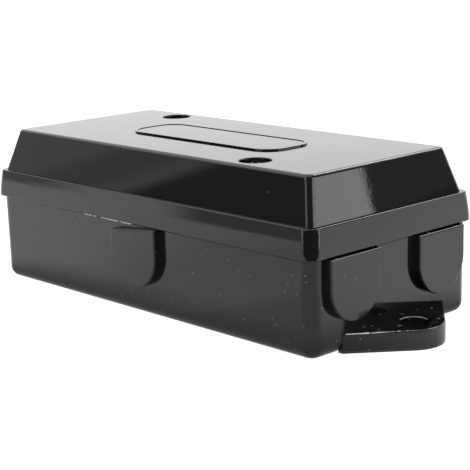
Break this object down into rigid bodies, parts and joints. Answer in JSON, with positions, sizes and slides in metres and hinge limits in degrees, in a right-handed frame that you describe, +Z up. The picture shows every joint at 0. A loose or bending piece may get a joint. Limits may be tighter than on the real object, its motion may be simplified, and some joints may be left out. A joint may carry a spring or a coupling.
{
  "type": "trailer junction box",
  "caption": "Low black junction box for trailer wiring: tray with end fixing ears, cable-entry humps and threaded wiring studs, under a bevelled screw-down cover with a bare label field.",
  "frame": {"origin": "middle of the flat underside of the tray", "axes": "+Z up, X along the box through both fixing ears, Y across it"},
  "size_m": [0.1436, 0.0602, 0.0418],
  "materials": {
    "tray_plastic": "moulded black ABS, glossy",
    "cover_plastic": "moulded black ABS, polished mould",
    "seal_rubber": "soft black rubber, matt",
    "black_steel": "steel screw, black zinc",
    "brass": "turned brass",
    "zinc_steel": "bright zinc plate"
  },
  "bodies": {
    "base": {"base_tray": "tray_plastic", "stud_1": "brass", "flat_washer_1": "zinc_steel", "lock_nut_1": "brass", "spring_washer_1": "zinc_steel", "stud_2": "brass", "flat_washer_2": "zinc_steel", "lock_nut_2": "brass", "spring_washer_2": "zinc_steel", "stud_3": "brass", "flat_washer_3": "zinc_steel", "lock_nut_3": "brass", "spring_washer_3": "zinc_steel", "stud_4": "brass", "flat_washer_4": "zinc_steel", "lock_nut_4": "brass", "spring_washer_4": "zinc_steel", "stud_5": "brass", "flat_washer_5": "zinc_steel", "lock_nut_5": "brass", "spring_washer_5": "zinc_steel", "stud_6": "brass", "flat_washer_6": "zinc_steel", "lock_nut_6": "brass", "spring_washer_6": "zinc_steel", "stud_7": "brass", "flat_washer_7": "zinc_steel", "lock_nut_7": "brass", "spring_washer_7": "zinc_steel"},
    "cover": {"cover": "cover_plastic", "cover_seal": "seal_rubber"},
    "cover_screw_1": {"cover_screw_1": "black_steel"},
    "cover_screw_2": {"cover_screw_2": "black_steel"},
    "clamp_nut_1": {"clamp_nut_1": "brass"},
    "clamp_nut_2": {"clamp_nut_2": "brass"},
    "clamp_nut_3": {"clamp_nut_3": "brass"},
    "clamp_nut_4": {"clamp_nut_4": "brass"},
    "clamp_nut_5": {"clamp_nut_5": "brass"},
    "clamp_nut_6": {"clamp_nut_6": "brass"},
    "clamp_nut_7": {"clamp_nut_7": "brass"}
  },
  "joints": [
    {"name": "cover_lift", "type": "slide", "parent": "base", "child": "cover", "axis": [0, 0, 1], "range_m": [0, 0.04]},
    {"name": "cover_screw_1_turn", "type": "hinge", "parent": "cover", "child": "cover_screw_1", "pos_m": [0.0321, -0.01795, 0.0384], "axis": [0, 0, 1], "continuous": true},
    {"name": "cover_screw_2_turn", "type": "hinge", "parent": "cover", "child": "cover_screw_2", "pos_m": [-0.0367, 0.01795, 0.0384], "axis": [0, 0, 1], "continuous": true},
    {"name": "clamp_nut_1_turn", "type": "hinge", "parent": "base", "child": "clamp_nut_1", "pos_m": [-0.0315, 0.0084, 0.0168], "axis": [0, 0, 1], "continuous": true},
    {"name": "clamp_nut_2_turn", "type": "hinge", "parent": "base", "child": "clamp_nut_2", "pos_m": [-0.0105, 0.0084, 0.0168], "axis": [0, 0, 1], "continuous": true},
    {"name": "clamp_nut_3_turn", "type": "hinge", "parent": "base", "child": "clamp_nut_3", "pos_m": [0.0105, 0.0084, 0.0168], "axis": [0, 0, 1], "continuous": true},
    {"name": "clamp_nut_4_turn", "type": "hinge", "parent": "base", "child": "clamp_nut_4", "pos_m": [0.0315, 0.0084, 0.0168], "axis": [0, 0, 1], "continuous": true},
    {"name": "clamp_nut_5_turn", "type": "hinge", "parent": "base", "child": "clamp_nut_5", "pos_m": [-0.021, -0.0084, 0.0168], "axis": [0, 0, 1], "continuous": true},
    {"name": "clamp_nut_6_turn", "type": "hinge", "parent": "base", "child": "clamp_nut_6", "pos_m": [0, -0.0084, 0.0168], "axis": [0, 0, 1], "continuous": true},
    {"name": "clamp_nut_7_turn", "type": "hinge", "parent": "base", "child": "clamp_nut_7", "pos_m": [0.021, -0.0084, 0.0168], "axis": [0, 0, 1], "continuous": true}
  ]
}
